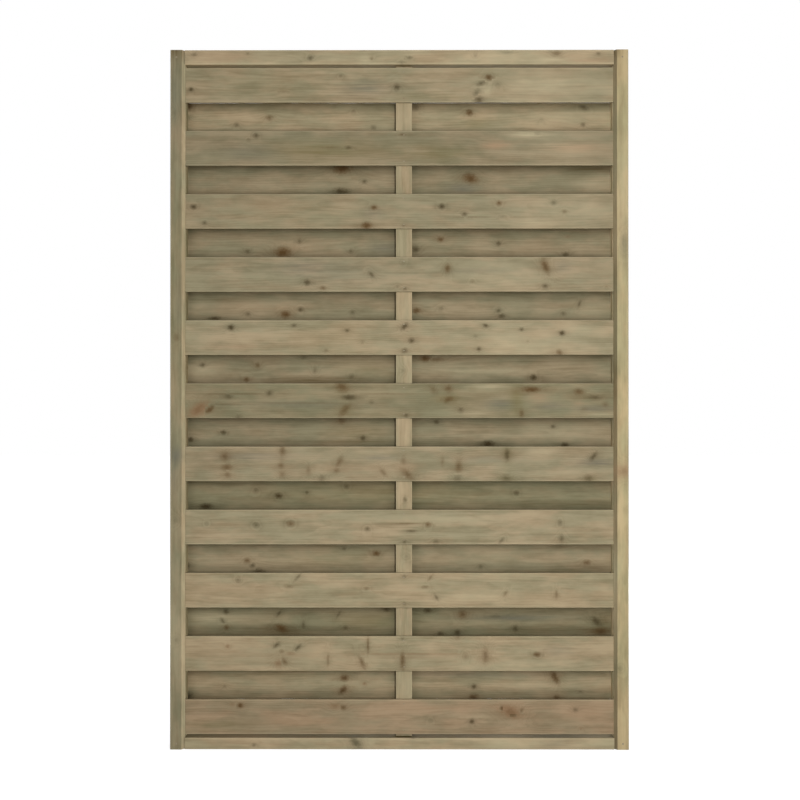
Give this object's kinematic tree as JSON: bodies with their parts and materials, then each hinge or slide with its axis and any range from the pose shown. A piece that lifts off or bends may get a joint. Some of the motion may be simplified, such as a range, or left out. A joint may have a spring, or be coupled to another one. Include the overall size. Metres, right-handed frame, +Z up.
{
  "type": "privacy fence panel",
  "caption": "Framed privacy fence panel of softwood: thin horizontal boards housed in grooved stiles, in two staggered rows on either side of a centre muntin.",
  "frame": {"origin": "middle of the panel's bottom edge, at half its depth", "axes": "+Z up the stiles, +X along the boards to the right seen from the front, +Y from the front to the back"},
  "size_m": [1.18, 0.063, 1.8],
  "materials": {
    "frame_timber": "planed pressure-treated softwood, greenish grey-tan, matt",
    "board_timber": "planed pressure-treated softwood with knots, matt",
    "muntin_timber": "planed pressure-treated softwood, paler, matt",
    "nail_wire": "dull galvanised wire"
  },
  "bodies": {
    "root": {"left_stile": "frame_timber", "right_stile": "frame_timber", "top_rail": "frame_timber", "bottom_rail": "frame_timber", "centre_muntin": "muntin_timber", "front_board_01": "board_timber", "front_board_02": "board_timber", "front_board_03": "board_timber", "front_board_04": "board_timber", "front_board_05": "board_timber", "front_board_06": "board_timber", "front_board_07": "board_timber", "front_board_08": "board_timber", "front_board_09": "board_timber", "front_board_10": "board_timber", "front_board_11": "board_timber", "back_board_01": "board_timber", "back_board_02": "board_timber", "back_board_03": "board_timber", "back_board_04": "board_timber", "back_board_05": "board_timber", "back_board_06": "board_timber", "back_board_07": "board_timber", "back_board_08": "board_timber", "back_board_09": "board_timber", "back_board_10": "board_timber", "front_board_brads": "nail_wire", "back_board_brads": "nail_wire", "frame_pins": "nail_wire"}
  },
  "joints": []
}
